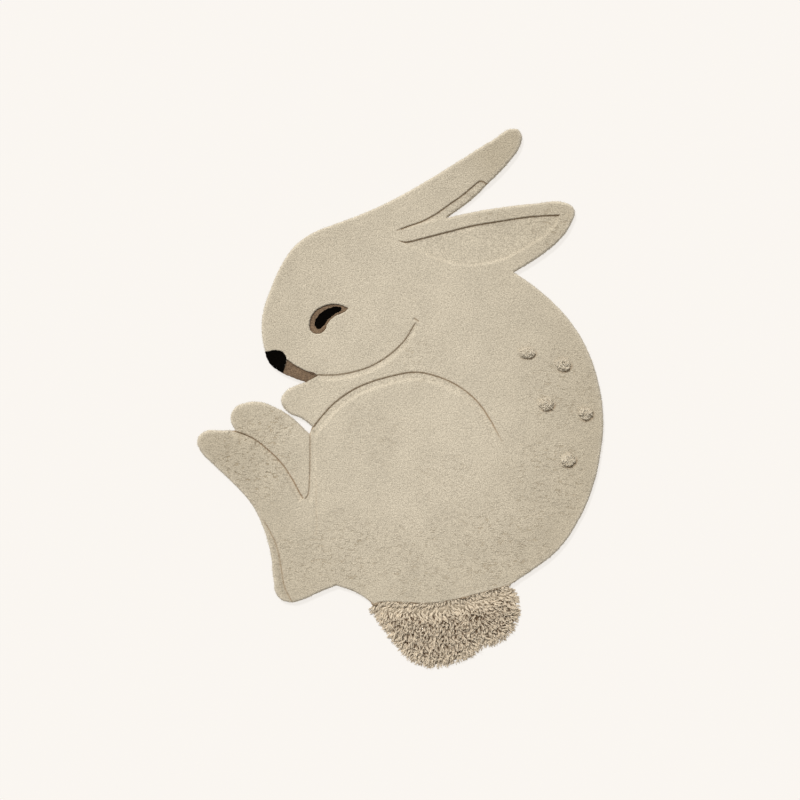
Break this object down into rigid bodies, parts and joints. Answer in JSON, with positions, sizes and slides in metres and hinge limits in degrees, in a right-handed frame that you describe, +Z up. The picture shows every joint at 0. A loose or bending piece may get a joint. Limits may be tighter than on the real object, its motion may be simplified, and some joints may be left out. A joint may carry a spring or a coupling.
{
  "type": "rug",
  "caption": "Hand-tufted cream wool floor rug in the shape of a curled-up sleeping rabbit, with carved lines, a shag tail and raised tufts on its back.",
  "frame": {"origin": "on the floor, under the middle of the rug's bounding box", "axes": "+Y from the tail towards the ears, +X towards the rabbit's back, +Z up out of the pile"},
  "size_m": [0.9, 1.199, 0.0261],
  "materials": {
    "oatmeal_pile": "dense cut wool pile, fully matt",
    "tail_shag": "long loose shag yarn, matt",
    "tan_pile": "short sheared wool pile, matt",
    "black_pile": "cut wool pile, matt"
  },
  "bodies": {
    "root": {"rabbit_pile": "oatmeal_pile", "tail_shag": "tail_shag", "nose_pile": "black_pile", "mouth_pile": "tan_pile", "eye_ring_pile": "tan_pile", "eye_pile": "black_pile", "back_tuft_1": "oatmeal_pile", "back_tuft_2": "oatmeal_pile", "back_tuft_3": "oatmeal_pile", "back_tuft_4": "oatmeal_pile", "back_tuft_5": "oatmeal_pile"}
  },
  "joints": []
}
